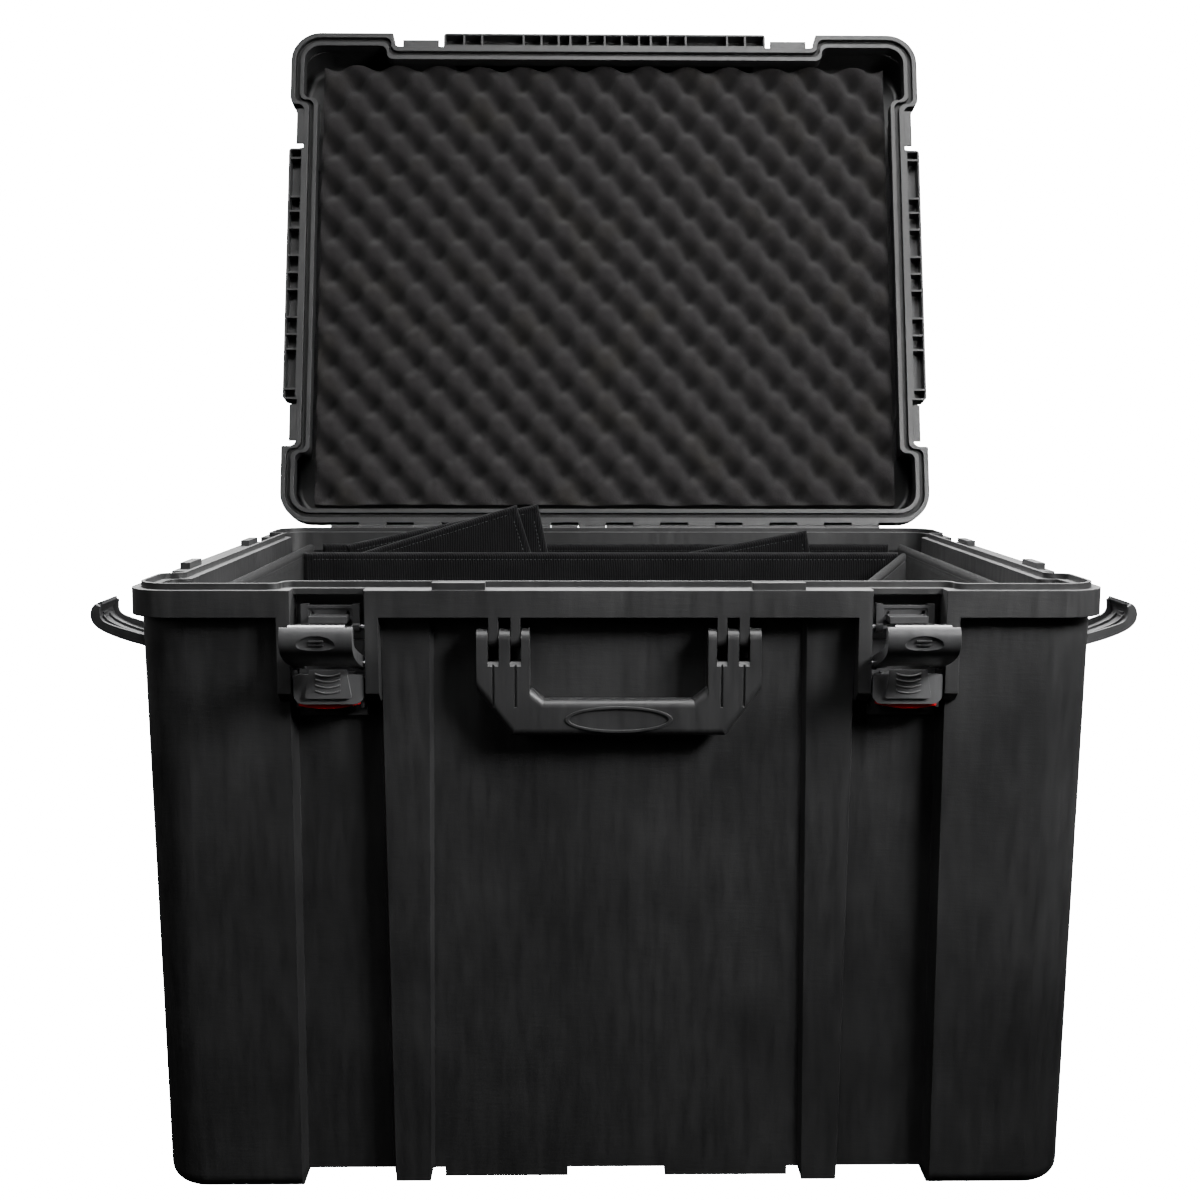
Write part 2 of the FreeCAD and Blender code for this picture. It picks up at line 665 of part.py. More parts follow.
def lever_open():
    """Open lever: a cover that curls up into a lip, with a low wall along each side."""
    half = LEVER_WIDTH / 2
    face = [(-1, -4), (-13.7, 0), (-25.2, 3.3), (-36.6, 6.9), (-47.9, 11.5), (-56.4, 16.6), (-60.6, 22),
            (-61.7, 28), (-60.3, 33.6), (-57, 37.4), (-53.4, 38.6)]
    back = [(-1, -0.6), (-13, 3.6), (-24.2, 6.8), (-35.4, 10.4), (-46.4, 14.9), (-53.4, 19.2), (-56.9, 23.4),
            (-57.8, 28), (-57, 31.6), (-55.4, 34.6), (-52.9, 36)]
    cover = lever_slice(face, back, half)
    cover = cover.cut(slab_y([(-LEVER_NOTCH, -9), (LEVER_NOTCH, -9), (LEVER_NOTCH, 2), (LEVER_NOTCH - 3, 6),
                              (3 - LEVER_NOTCH, 6), (-LEVER_NOTCH, 2)], -13, 4))
    wall_back = [(1, 5.5), (-13.5, 9.6), (-24.9, 12.8), (-36.2, 16.2), (-46, 19.6), (-51.3, 22.6),
                 (-53.4, 26.2), (-53.6, 30), (-53.2, 34), (-52.4, 36.4)]
    wall_face = [(0, -4.5)] + face[1:]
    parts = [cover]
    for x in (-half + LEVER_WALL / 2, half - LEVER_WALL / 2):
        wall = lever_slice(wall_face, wall_back, LEVER_WALL / 2)
        wall.translate(V(x, 0, 0))
        boss = Part.makeCylinder(5.5, LEVER_WALL, V(x - LEVER_WALL / 2, 0, 0), X_AXIS)
        parts.extend([wall, boss])
    for x in (-9.0, 9.0):
        rib = lever_slice(back[2:7], [(y + 0.8, z + 2.4) for y, z in back[2:7]], 0.8)
        rib.translate(V(x, 0, -0.3))
        parts.append(rib)
    lever = fuse(parts)
    for x0, x1 in ((-half - 1, -LEVER_LIP_HALF), (LEVER_LIP_HALF, half + 1)):
        lever = lever.cut(slab_x([(-62, 40), (-57, 37), (-50, 33), (-50, 42), (-62, 42)], x0, x1))
    return lever


def latch_lever():
    """Lever in its open pose, with a ridged oval dish where its face looks forwards."""
    lever = lever_open()
    y, z = LEVER_DISH
    dish = Part.makeSphere(1.0, V(0, 0, 0))
    stretch = FreeCAD.Matrix()
    stretch.scale(*LEVER_DISH_SIZE)
    dish = dish.transformGeometry(stretch)
    dish.translate(V(0, y, z))
    ridges = []
    for step in (-3.3, 0.0, 3.3):
        ridge = lever.common(box(-5.7, 5.7, y - 10, y + 4.5, z + step - 0.55, z + step + 0.55))
        ridge.translate(V(0, 0.9, 0))
        ridges.append(ridge)
    lever = fuse([lever.cut(dish)] + ridges)
    lever = lever.cut(Part.makeCylinder(LEVER_PIN_R + RUNNING_CLEARANCE, LEVER_WIDTH + 2,
                                        V(-LEVER_WIDTH / 2 - 1, 0, 0), X_AXIS))
    lever.translate(V(0, LEVER_PIVOT[0], LEVER_PIVOT[1]))
    return lever


def latch_pawl():
    """Two ears on a cross plate that turns on the upper pin."""
    y, z = PAWL_PIVOT
    ears = []
    for x0 in (-24.0, 18.0):
        ear = box(x0, x0 + 6, y - 4, y + 4, z, z + 19)
        ears.append(ear.fuse(Part.makeCylinder(5.0, 6, V(x0, y, z), X_AXIS)))
    plate = box(-18.5, 18.5, y - 3, y + 1, z + 6, z + 18)
    frame = box(-18.5, 18.5, y - 4, y - 2, z + 15.5, z + 18)
    sill = box(-18.5, 18.5, y - 4, y - 2, z + 6, z + 8.5)
    bar = box(-15.5, 15.5, y - 19, y - 3, z + 5, z + 10.5)
    pawl = fuse(ears + [plate, frame, sill, bar])
    holes = [Part.makeCylinder(PAWL_PIN_R + RUNNING_CLEARANCE, 60, V(-30, y, z), X_AXIS)]
    for x in (-14.5, 14.5):
        holes.append(Part.makeCylinder(1.6, 12, V(x, y - 6, z + 12), Y_AXIS))
    return pawl.cut(fuse(holes))


def pawl_spring():
    """Torsion spring around the upper pin, as its closed outer shape."""
    y, z = PAWL_PIVOT
    tube = Part.makeCylinder(3.6, 16, V(-8, y, z), X_AXIS)
    return tube.cut(Part.makeCylinder(PAWL_PIN_R + 0.3, 16, V(-8, y, z), X_AXIS))


def latch_base():
    """Back plate with the guide block that the lock slide runs on."""
    plate = box(-28, 28, LATCH_WALL_Y - 3, LATCH_WALL_Y, 417, 480)
    block = box(-18, 18, GUIDE_FRONT, LATCH_WALL_Y - 2, 427, 454)
    rails = [box(x0, x0 + 2.5, GUIDE_FRONT, LATCH_WALL_Y - 2, 427, 450) for x0 in (-27.5, 25.0)]
    step = box(-30, 30, GUIDE_FRONT - 1, INDICATOR_BACK, 420, INDICATOR_TOP)
    return fuse([plate, block] + rails).cut(step)


def lock_slide():
    """Sliding plate with a raised centre and four thumb ridges."""
    outline = slab_z([(-SLIDE_HALF_W, SLIDE_BOTTOM, 8), (SLIDE_HALF_W, SLIDE_BOTTOM, 8),
                      (SLIDE_HALF_W, SLIDE_TOP, 1.5), (-SLIDE_HALF_W, SLIDE_TOP, 1.5)], 0, 4.0)
    raised = slab_z([(-19, SLIDE_BOTTOM + 5, 2), (19, SLIDE_BOTTOM + 5, 2), (14.5, SLIDE_CREST, 3),
                     (-14.5, SLIDE_CREST, 3)], 0, 6.8)
    ridges = []
    for row in range(4):
        level = SLIDE_BOTTOM + 9.5 + 4.6 * row
        ring = Part.makeTorus(26.0, 0.9, V(0, level + 26.0, 6.8), Z_AXIS)
        ridges.append(ring.common(box(-10, 10, level - 2, level + 4, 5.5, 8.5)))
    tail = box(-15, 15, SLIDE_BOTTOM + 6, SLIDE_TOP - 2, -0.4, 1.0)
    plate = fuse([outline, raised, tail] + ridges)
    plate.rotate(V(0, 0, 0), X_AXIS, 90)
    plate.translate(V(0, SLIDE_BACK, 0))
    pin_room = box(-20, 20, LEVER_PIVOT[0] - LEVER_PIN_R - 0.7, SLIDE_BACK + 1, SLIDE_TOP, SLIDE_CREST + 1)
    lever_room = slab_x([(-323.0, 461.3), (SLIDE_BACK + 1, 457.3), (SLIDE_BACK + 1, 466.0), (-323.0, 466.0)],
                        -20, 20)
    return plate.cut(pin_room).cut(lever_room)


def lock_indicator():
    """Red strip just behind the lower edge of the slide, with a bowed lower edge."""
    bottom = Part.Arc(V(-25, 0, 430.5), V(4, 0, 426.4), V(25, 0, 429.0)).toShape()
    top = [V(25, 0, 429.0), V(25, 0, INDICATOR_TOP), V(-25, 0, INDICATOR_TOP), V(-25, 0, 430.5)]
    sides = [Part.LineSegment(a, b).toShape() for a, b in zip(top, top[1:])]
    strip = Part.Face(Part.Wire([bottom] + sides)).extrude(V(0, GUIDE_FRONT - INDICATOR_BACK, 0))
    strip.translate(V(0, INDICATOR_BACK, 0))
    return strip


def latch_pin(pivot, radius):
    return Part.makeCylinder(radius, 2 * LATCH_PIN_HALF, V(-LATCH_PIN_HALF, pivot[0], pivot[1]), X_AXIS)


# ---------------------------------------------------------------- padded interior
def liner_slab(outer_top, outer_bottom, inward):
    """Front or back liner panel, parallel to the drafted wall."""
    t = LINER_THICKNESS * inward
    half = LINER_X - 7
    return slab_x([(outer_top, LINER_TOP), (outer_bottom, LINER_BOTTOM),
                   (outer_bottom + t, LINER_BOTTOM), (outer_top + t, LINER_TOP)], -half, half)


def liner_side():
    gap = LINER_THICKNESS + 1.5
    return slab_x([(LINER_FRONT[0] + gap, LINER_TOP), (LINER_FRONT[1] + gap, LINER_BOTTOM),
                   (LINER_BACK[1] - gap, LINER_BOTTOM), (LINER_BACK[0] - gap, LINER_TOP)],
                  LINER_X, LINER_X + LINER_THICKNESS)


def liner_floor():
    return box(-LINER_X - 8, LINER_X + 8, LINER_FRONT[1] + 1, LINER_BACK[1] - 1, FLOOR_TOP + 0.5,
               LINER_BOTTOM - 0.4)


def long_divider():
    return box(-LINER_X + 0.5, 330, LONG_DIVIDER_Y, LONG_DIVIDER_Y + DIVIDER_THICKNESS, LINER_BOTTOM + 0.4,
               DIVIDER_TOP)


def diagonal_divider():
    front = (195.4, -251.0)
    back = (334.6, 178.0)
    along = V(back[0] - front[0], back[1] - front[1], 0).normalize()
    across = V(along.y, -along.x, 0) * (DIVIDER_THICKNESS / 2)
    a = V(front[0], front[1], LINER_BOTTOM + 0.4)
    b = V(back[0], back[1], LINER_BOTTOM + 0.4)
    ring = [a - across, a + across, b + across, b - across, a - across]
    height = DIVIDER_TOP - LINER_BOTTOM - 0.4
    return Part.Face(Part.makePolygon(ring)).extrude(V(0, 0, height))


def leaning_panel(top_right, tilt, length, height, y0, thickness):
    """Loose padded panel standing on one lower corner. tilt raises its right-hand end."""
    x, z = top_right
    c = math.cos(math.radians(tilt))
    s = math.sin(math.radians(tilt))
    corners = [(x, z), (x - length * c, z - length * s),
               (x - length * c + height * s, z - length * s - height * c),
               (x + height * s, z - height * c)]
    return slab_y(corners, y0, y0 + thickness)


def loose_divider_tall():
    front = leaning_panel((-104, 562.5), 17, 222, 482, 199, DIVIDER_THICKNESS)
    behind = leaning_panel((-80, 563), 12, 226, 470, 199 + DIVIDER_THICKNESS, DIVIDER_THICKNESS)
    return front.fuse(behind)


def loose_divider_low():
    return leaning_panel((232, 532), 10.7, 300, 448, 226, DIVIDER_THICKNESS)


# ---------------------------------------------------------------- nodes
def build():
    nodes = {
        "base_shell": base_shell(),
        "hinge_pin": hinge_pin(),
        "lid_shell": lid_shell(),
        "lid_gasket": lid_gasket(),
        "lid_foam": lid_foam(),
        "front_handle": front_handle(),
        "front_handle_pins": Part.makeCompound(front_handle_pin_solids()),
        "liner_front": liner_slab(LINER_FRONT[0], LINER_FRONT[1], 1),
        "liner_back": liner_slab(LINER_BACK[0], LINER_BACK[1], -1),
        "liner_floor": liner_floor(),
        "long_divider": long_divider(),
        "diagonal_divider": diagonal_divider(),
        "loose_divider_tall": loose_divider_tall(),
        "loose_divider_low": loose_divider_low(),
    }
    liner = liner_side()
    nodes["liner_right"] = liner
    nodes["liner_left"] = mirrored_x(liner)
    pieces = {"latch_lever": latch_lever(), "latch_pawl": latch_pawl(), "latch_base": latch_base(),
              "lock_slide": lock_slide(), "lock_indicator": lock_indicator()}
    for place, station in latch_stations().items():
        for piece, shape in pieces.items():
            handed = piece == "lock_indicator" and station[0] < 0
            nodes[piece + "_" + place] = at_latch(mirrored_x(shape) if handed else shape, station)
    nodes["lever_pins"] = Part.makeCompound(at_all_latches(latch_pin(LEVER_PIVOT, LEVER_PIN_R)))
    nodes["pawl_pins"] = Part.makeCompound(at_all_latches(latch_pin(PAWL_PIVOT, PAWL_PIN_R)))
    nodes["pawl_springs"] = Part.makeCompound(at_all_latches(pawl_spring()))
    return nodes


os.makedirs("parts", exist_ok=True)
for node, shape in build().items():
    shape.exportStep("parts/" + node + ".step")
    print("%-22s solids %d valid %s volume %.1f cm3" % (node, len(shape.Solids), shape.isValid(),
                                                        shape.Volume / 1000))
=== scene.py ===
"""Looks for a large rugged equipment case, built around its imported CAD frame.

Metres, +Z up, front towards -Y.
"""

import json
import math
import random

import bpy
from mathutils import Matrix, Vector, noise


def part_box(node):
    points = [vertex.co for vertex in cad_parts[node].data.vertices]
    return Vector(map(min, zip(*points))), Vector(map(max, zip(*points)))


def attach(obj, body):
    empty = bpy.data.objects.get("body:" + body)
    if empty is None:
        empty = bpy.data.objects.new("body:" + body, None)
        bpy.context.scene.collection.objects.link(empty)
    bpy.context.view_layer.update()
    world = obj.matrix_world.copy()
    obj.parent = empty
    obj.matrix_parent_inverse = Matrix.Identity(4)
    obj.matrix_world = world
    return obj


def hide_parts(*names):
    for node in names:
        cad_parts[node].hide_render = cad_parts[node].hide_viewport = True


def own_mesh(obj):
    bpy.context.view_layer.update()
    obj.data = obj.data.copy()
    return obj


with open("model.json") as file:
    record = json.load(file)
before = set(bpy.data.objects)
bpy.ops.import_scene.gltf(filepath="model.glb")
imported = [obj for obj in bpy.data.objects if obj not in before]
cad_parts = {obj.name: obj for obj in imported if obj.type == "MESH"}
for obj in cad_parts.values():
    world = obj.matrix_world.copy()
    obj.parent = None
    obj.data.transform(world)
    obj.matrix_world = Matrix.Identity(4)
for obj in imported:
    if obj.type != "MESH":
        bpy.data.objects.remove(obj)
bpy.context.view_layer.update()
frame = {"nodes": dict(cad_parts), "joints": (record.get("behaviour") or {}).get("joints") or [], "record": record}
MM = 0.001
SEED = 7
SAME_LEVEL = 0.1 * MM


# ------------------------------------------------------------------ places taken from the frame
def joint(name):
    return next(j for j in frame["joints"] if j["name"] == name)


LID_HINGE = joint("lid_hinge")
HINGE = Vector(LID_HINGE["pos_m"])
LID_SWING = math.radians(max(LID_HINGE["range_deg"]))
HINGE_SHIFT = Matrix.Translation(HINGE)
TO_CLOSED = HINGE_SHIFT @ Matrix.Rotation(LID_SWING, 4, "X") @ HINGE_SHIFT.inverted()
TO_OPEN = TO_CLOSED.inverted()


def limits(points):
    """Lowest and highest corner of some points."""
    return [Vector([pick(p[i] for p in points) for i in range(3)]) for pick in (min, max)]


def node_points(node, matrix=None):
    points = [v.co.copy() for v in frame["nodes"][node].data.vertices]
    return [matrix @ p for p in points] if matrix else points


def slab_corners(node):
    """A slab node's limits, and its lowest and highest y at its bottom and at its top."""
    points = node_points(node)
    low, high = limits(points)
    ends = []
    for level in (low.z, high.z):
        row = [p.y for p in points if abs(p.z - level) < SAME_LEVEL]
        ends.append((min(row), max(row)))
    return low, high, ends


# ------------------------------------------------------------------ node helpers
def new_material(name, roughness, **sockets):
    material = bpy.data.materials.new(name)
    material.use_nodes = True
    tree = material.node_tree
    shader = tree.nodes["Principled BSDF"]
    shader.inputs["Roughness"].default_value = roughness
    for label, value in sockets.items():
        shader.inputs[label.replace("_", " ")].default_value = value
    return material, tree, shader


def node(tree, kind, **values):
    made = tree.nodes.new(kind)
    for label, value in values.items():
        key = label.replace("_", " ")
        if key in made.inputs:
            made.inputs[key].default_value = value
        else:
            setattr(made, label, value)
    return made


def coordinates(tree, scale=(1.0, 1.0, 1.0)):
    """Object coordinates in metres, stretched by scale."""
    source = node(tree, "ShaderNodeTexCoord")
    mapping = node(tree, "ShaderNodeMapping", Scale=scale)
    tree.links.new(source.outputs["Object"], mapping.inputs["Vector"])
    return mapping.outputs["Vector"]


def noise_at(tree, vector, scale, detail=2.0, roughness=0.5):
    made = node(tree, "ShaderNodeTexNoise", Scale=scale, Detail=detail, Roughness=roughness)
    tree.links.new(vector, made.inputs["Vector"])
    return made.outputs["Fac"]


def remap(tree, value, low, high, start=0.0, end=1.0):
    made = node(tree, "ShaderNodeMapRange", From_Min=start, From_Max=end, To_Min=low, To_Max=high)
    tree.links.new(value, made.inputs["Value"])
    return made.outputs["Result"]


def blend_colors(tree, factor, first, second):
    made = node(tree, "ShaderNodeMix", data_type="RGBA")
    tree.links.new(factor, made.inputs["Factor"])
    made.inputs[6].default_value = (*first, 1.0)
    made.inputs[7].default_value = (*second, 1.0)
    return made.outputs[2]


def add_bumps(tree, shader, layers, edge=0.0):
    """Stack bump layers, each (height output, depth in metres), on softened edges of the given radius."""
    normal = None
    if edge > 0:
        soft = node(tree, "ShaderNodeBevel", samples=4, Radius=edge)
        normal = soft.outputs["Normal"]
    for height, depth in layers:
        bump = node(tree, "ShaderNodeBump", Strength=1.0, Distance=depth)
        tree.links.new(height, bump.inputs["Height"])
        if normal:
            tree.links.new(normal, bump.inputs["Normal"])
        normal = bump.outputs["Normal"]
    tree.links.new(normal, shader.inputs["Normal"])


# ------------------------------------------------------------------ materials
GRAIN = 0.00006      # depth of the spark-eroded texture


def moulded_plastic(name, dark, light, rough, edge, scuffs=0.0):
    """Black moulded plastic: fine spark-eroded grain, soft flow marks and uneven gloss."""
    material, tree, shader = new_material(name, rough, Specular_IOR_Level=0.5)
    place = coordinates(tree)
    tall = coordinates(tree, (1.0, 1.0, 0.12))
    clouds = noise_at(tree, place, 9.0, 4.0, 0.55)
    streaks = noise_at(tree, tall, 150.0, 3.0, 0.6)
    speckle = noise_at(tree, place, 900.0, 2.0, 0.6)
    mixed = node(tree, "ShaderNodeMath", operation="MULTIPLY")
    tree.links.new(clouds, mixed.inputs[0])
    tree.links.new(streaks, mixed.inputs[1])
    tone = remap(tree, mixed.outputs[0], 0.0, 1.0, 0.12, 0.42)
    tree.links.new(blend_colors(tree, tone, dark, light), shader.inputs["Base Color"])
    gloss = node(tree, "ShaderNodeMath", operation="ADD")
    tree.links.new(remap(tree, streaks, -0.06, 0.06, 0.3, 0.7), gloss.inputs[0])
    tree.links.new(remap(tree, clouds, rough - 0.05, rough + 0.05, 0.3, 0.7), gloss.inputs[1])
    tree.links.new(gloss.outputs[0], shader.inputs["Roughness"])
    layers = [(clouds, 0.0012), (speckle, GRAIN)]
    if scuffs > 0:
        layers.append((noise_at(tree, coordinates(tree, (1.0, 1.0, 6.0)), 60.0, 2.0, 0.7), scuffs))
    add_bumps(tree, shader, layers, edge)
    return material


def glossy_red():
    material, tree, shader = new_material("gloss_red_plastic", 0.3, Specular_IOR_Level=0.5)
    tone = remap(tree, noise_at(tree, coordinates(tree), 60.0, 3.0), 0.0, 1.0, 0.3, 0.7)
    tree.links.new(blend_colors(tree, tone, (0.62, 0.004, 0.010), (0.74, 0.007, 0.016)),
                   shader.inputs["Base Color"])
    add_bumps(tree, shader, [(noise_at(tree, coordinates(tree), 500.0), 0.00003)], 0.0004)
    return material


def drawn_steel():
    """Plain drawn wire and rod: fine lines along X, dulled in patches."""
    material, tree, shader = new_material("drawn_steel", 0.32, Metallic=1.0)
    lines = noise_at(tree, coordinates(tree, (0.04, 1.0, 1.0)), 2500.0, 2.0)
    patches = noise_at(tree, coordinates(tree), 120.0, 3.0)
    tone = remap(tree, patches, 0.0, 1.0, 0.35, 0.65)
    tree.links.new(blend_colors(tree, tone, (0.33, 0.33, 0.34), (0.52, 0.52, 0.53)),
                   shader.inputs["Base Color"])
    tree.links.new(remap(tree, patches, 0.26, 0.42, 0.3, 0.7), shader.inputs["Roughness"])
    add_bumps(tree, shader, [(lines, 0.00002)])
    return material


def seal_rubber():
    material, tree, shader = new_material("seal_rubber", 0.62, Specular_IOR_Level=0.35)
    bloom = remap(tree, noise_at(tree, coordinates(tree), 45.0, 4.0), 0.0, 1.0, 0.35, 0.7)
    tree.links.new(blend_colors(tree, bloom, (0.006, 0.006, 0.006), (0.011, 0.011, 0.011)),
                   shader.inputs["Base Color"])
    add_bumps(tree, shader, [(noise_at(tree, coordinates(tree), 1200.0, 2.0), 0.00008)], 0.0003)
    return material


def charcoal_foam():
    """Open-cell foam: pores, faint warm patches, and ridges lighter than the pits, partly wear and partly painted
    light on the tops and painted shade in the pits.
    """
    material, tree, shader = new_material("charcoal_foam", 0.95, Specular_IOR_Level=0.12,
                                          Sheen_Weight=0.07, Sheen_Roughness=0.6)
    place = coordinates(tree)
    height = node(tree, "ShaderNodeAttribute", attribute_name="ridge")
    pores = node(tree, "ShaderNodeTexVoronoi", Scale=1100.0)
    tree.links.new(place, pores.inputs["Vector"])
    fuzz = noise_at(tree, place, 420.0, 3.0, 0.7)
    patch = noise_at(tree, place, 14.0, 3.0, 0.5)
    tint = blend_colors(tree, remap(tree, patch, 0.0, 1.0, 0.52, 0.72),
                        (0.0106, 0.0096, 0.0099), (0.0120, 0.0108, 0.0095))
    shade = node(tree, "ShaderNodeMix", data_type="RGBA", blend_type="MULTIPLY")
    shade.inputs[0].default_value = 1.0
    tree.links.new(tint, shade.inputs[6])
    # painted light and shade: the colour follows the ridge height, lighter on the tops and darker in the pits,
    # partly wear on the ridges
    tone_factor = node(tree, "ShaderNodeMath", operation="MULTIPLY")
    tree.links.new(remap(tree, height.outputs["Fac"], 0.62, 1.22), tone_factor.inputs[0])
    tree.links.new(remap(tree, fuzz, 0.82, 1.18, 0.25, 0.75), tone_factor.inputs[1])
    tree.links.new(tone_factor.outputs[0], shade.inputs[7])
    tree.links.new(shade.outputs[2], shader.inputs["Base Color"])
    add_bumps(tree, shader, [(fuzz, 0.0006), (pores.outputs["Distance"], 0.00035)])
    return material


def brushed_cloth(name, dark, light, rib_pitch, rib_depth):
    """Brushed nylon loop cloth over foam: upright ribs with painted shade in their grooves and painted light on
    their crests, broken up by the nap.
    """
    material, tree, shader = new_material(name, 0.86, Specular_IOR_Level=0.08, Sheen_Weight=0.03,
                                          Sheen_Roughness=0.5)
    place = coordinates(tree)
    source = node(tree, "ShaderNodeTexCoord")
    parts = node(tree, "ShaderNodeSeparateXYZ")
    tree.links.new(source.outputs["Object"], parts.inputs[0])
    run = node(tree, "ShaderNodeMath", operation="ADD")
    tree.links.new(parts.outputs["X"], run.inputs[0])
    tree.links.new(parts.outputs["Y"], run.inputs[1])
    drift = node(tree, "ShaderNodeMath", operation="ADD")
    tree.links.new(run.outputs[0], drift.inputs[0])
    tree.links.new(remap(tree, noise_at(tree, place, 26.0, 2.0), 0.0, 0.0035), drift.inputs[1])
    phase = node(tree, "ShaderNodeMath", operation="MULTIPLY")
    phase.inputs[1].default_value = 2 * math.pi / rib_pitch
    tree.links.new(drift.outputs[0], phase.inputs[0])
    rib = node(tree, "ShaderNodeMath", operation="SINE")
    tree.links.new(phase.outputs[0], rib.inputs[0])
    nap = noise_at(tree, place, 700.0, 3.0, 0.65)
    tone_factor = noise_at(tree, place, 18.0, 4.0, 0.6)
    # painted light and shade: the colour rises and falls with the rib wave, lighter on the crests and darker in
    # the grooves
    lit = node(tree, "ShaderNodeMath", operation="MULTIPLY")
    tree.links.new(remap(tree, rib.outputs[0], 0.25, 1.0, -1.0, 1.0), lit.inputs[0])
    tree.links.new(remap(tree, tone_factor, 0.2, 1.0, 0.35, 0.7), lit.inputs[1])
    tone = node(tree, "ShaderNodeMath", operation="MULTIPLY")
    tree.links.new(lit.outputs[0], tone.inputs[0])
    tree.links.new(remap(tree, nap, 0.5, 1.3, 0.3, 0.7), tone.inputs[1])
    tree.links.new(blend_colors(tree, tone.outputs[0], dark, light), shader.inputs["Base Color"])
    add_bumps(tree, shader, [(tone_factor, 0.0008), (rib.outputs[0], rib_depth), (nap, 0.0004)])
    return material


def woven_tape():
    """Ribbed binding tape and thread."""
    material, tree, shader = new_material("binding_tape", 0.7, Specular_IOR_Level=0.3, Sheen_Weight=0.15)
    place = coordinates(tree)
    weave = noise_at(tree, coordinates(tree, (1.0, 1.0, 0.3)), 1400.0, 2.0)
    tone = remap(tree, noise_at(tree, place, 300.0, 3.0), 0.0, 1.0, 0.3, 0.7)
    tree.links.new(blend_colors(tree, tone, (0.009, 0.009, 0.010), (0.022, 0.022, 0.023)),
                   shader.inputs["Base Color"])
    add_bumps(tree, shader, [(weave, 0.0002)])
    return material


SHELL = moulded_plastic("shell_plastic", (0.015, 0.015, 0.0154), (0.025, 0.025, 0.0254), 0.46, 0.0009,
                        0.00012)
HANDLE = moulded_plastic("handle_plastic", (0.017, 0.017, 0.0175), (0.028, 0.028, 0.0285), 0.42, 0.0007)
LATCH = moulded_plastic("latch_plastic", (0.030, 0.030, 0.0310), (0.045, 0.045, 0.0460), 0.38, 0.0005)
SLIDE = moulded_plastic("slide_plastic", (0.075, 0.075, 0.0765), (0.100, 0.100, 0.1020), 0.42, 0.0004)
RED = glossy_red()
STEEL = drawn_steel()
RUBBER = seal_rubber()
FOAM = charcoal_foam()
# painted shade: the lining is the dividers' cloth in darker colours, so the walls that face the lamps read darker
LINER = brushed_cloth("liner_cloth", (0.0020, 0.0020, 0.0022), (0.0056, 0.0056, 0.0059),
                      0.0031, 0.00010)
DIVIDER = brushed_cloth("divider_cloth", (0.0022, 0.0022, 0.0024), (0.0070, 0.0070, 0.0074),
                        0.0027, 0.00016)
TAPE = woven_tape()

SLOT_MATERIALS = {
    "shell_plastic": SHELL, "handle_plastic": HANDLE, "latch_plastic": LATCH, "slide_plastic": SLIDE,
    "red_plastic": RED, "steel": STEEL, "gasket_rubber": RUBBER, "foam": FOAM, "liner_fabric": LINER,
    "divider_fabric": DIVIDER,
}


def finish_cad_nodes():
    """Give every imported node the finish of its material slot."""
    for part in frame["record"]["subparts"]:
        shown = frame["nodes"][part["node"]]
        if not shown.material_slots:
            shown.data.materials.append(None)
        for place in shown.material_slots:
            place.material = SLOT_MATERIALS[part["material_slot"]]


# ------------------------------------------------------------------ mesh helpers
def add_mesh(name, vertices, faces, material, body):
    mesh = bpy.data.meshes.new(name)
    mesh.from_pydata([tuple(v) for v in vertices], [], faces)
    mesh.polygons.foreach_set("use_smooth", [True] * len(mesh.polygons))
    mesh.materials.append(material)
    mesh.update()
    made = bpy.data.objects.new(name, mesh)
    bpy.context.scene.collection.objects.link(made)
    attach(made, body)
    return made


def steps(length, pitch, edge, fine):
    """Positions from 0 to length: fine steps within edge of both ends, about pitch between."""
    count = max(1, round(edge / fine))
    start = [edge * (1 - math.cos(math.pi / 2 * i / count)) for i in range(count)]
    middle_count = max(1, round((length - 2 * edge) / pitch))
    middle = [edge + (length - 2 * edge) * i / middle_count for i in range(middle_count + 1)]
    return start + middle + [length - s for s in reversed(start)]


def smooth(value):
    value = min(max(value, 0.0), 1.0)
    return value * value * (3 - 2 * value)


# ------------------------------------------------------------------ egg-crate foam in the lid
PITCH_X = 53.3 * MM          # dimple to dimple across the lid
PITCH_Y = 56.5 * MM          # every second row of dimples
DIMPLE_X = 0.4 * MM          # one dimple's place, lid closed
DIMPLE_Y = -88.0 * MM
DIMPLE_DEPTH = 19.0 * MM
ALONG_SHARE = 0.46           # how much the ridges undulate along their length
PIT_SHARPNESS = 1.55         # above 1, pits are narrower than the bumps between them
FOAM_STEP = 3.4 * MM
# the patch over the tall divider, built as its own piece: low x, high x, low y, high y, lid closed
DIVIDER_WINDOW = (-222 * MM, -60 * MM, 186 * MM, 228 * MM)
EDGE_RIPPLE = 1.6 * MM
SKIN = 1.0 * MM              # peaks of the foam lie this far behind the CAD solid's face


def dimple(x, y):
    """Depth of the egg-crate face below its peaks, lid closed."""
    a = 2 * math.pi * (x - DIMPLE_X) / PITCH_X
    b = 2 * math.pi * (y - DIMPLE_Y) / PITCH_Y
    wander = 0.35 * noise.noise(Vector((x * 9, y * 9, 3.1)))
    wave = ALONG_SHARE * math.cos(a + b + wander) + (1 - ALONG_SHARE) * math.cos(a - b - wander)
    shaped = (0.5 + 0.5 * wave) ** PIT_SHARPNESS
    return DIMPLE_DEPTH * shaped + 0.8 * MM * noise.noise(Vector((x * 30, y * 30, 0.0)))


